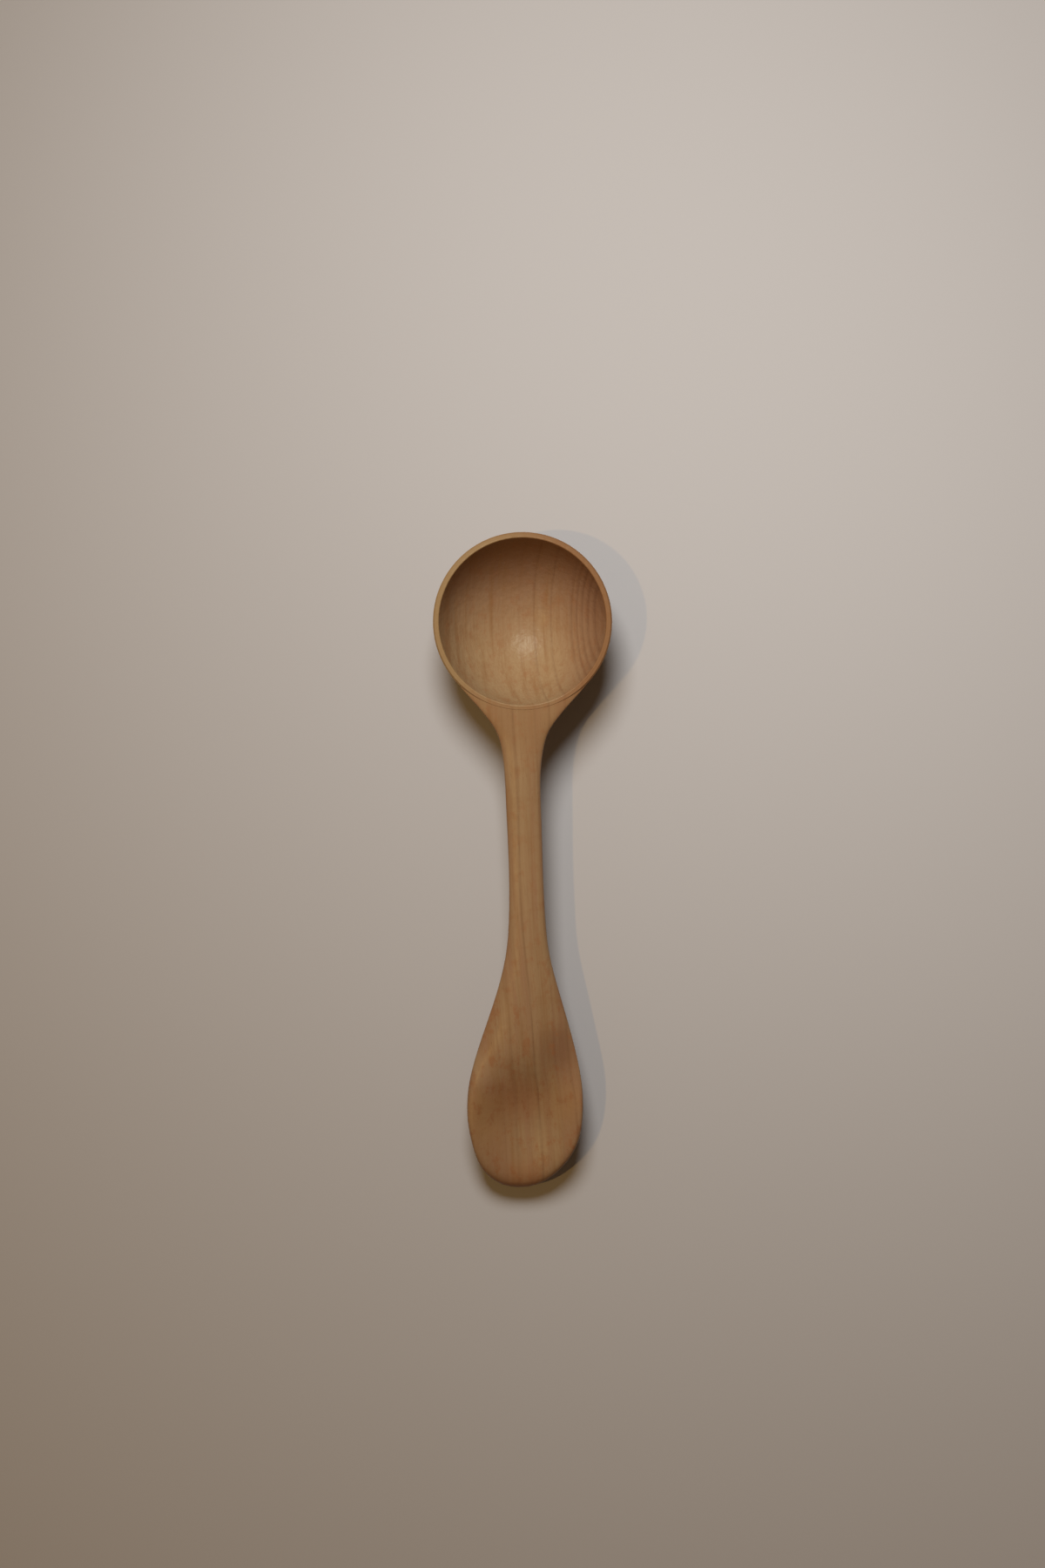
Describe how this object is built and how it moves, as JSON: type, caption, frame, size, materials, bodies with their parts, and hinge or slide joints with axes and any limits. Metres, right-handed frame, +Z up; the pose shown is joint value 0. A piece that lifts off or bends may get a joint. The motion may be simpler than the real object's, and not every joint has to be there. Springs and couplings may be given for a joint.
{
  "type": "scoop spoon",
  "caption": "Plain carved wooden scoop spoon with a round deep bowl, a slim, nearly level stem and a dished oval thumb rest.",
  "frame": {"origin": "on the table under the spoon, at the middle of its length and of the bowl's width", "axes": "+Y from the thumb rest to the bowl along the spoon, +X to the right seen from above, +Z up"},
  "size_m": [0.0446, 0.1652, 0.0195],
  "materials": {
    "wood": "oiled satin"
  },
  "bodies": {
    "root": {"spoon": "wood"}
  },
  "joints": []
}
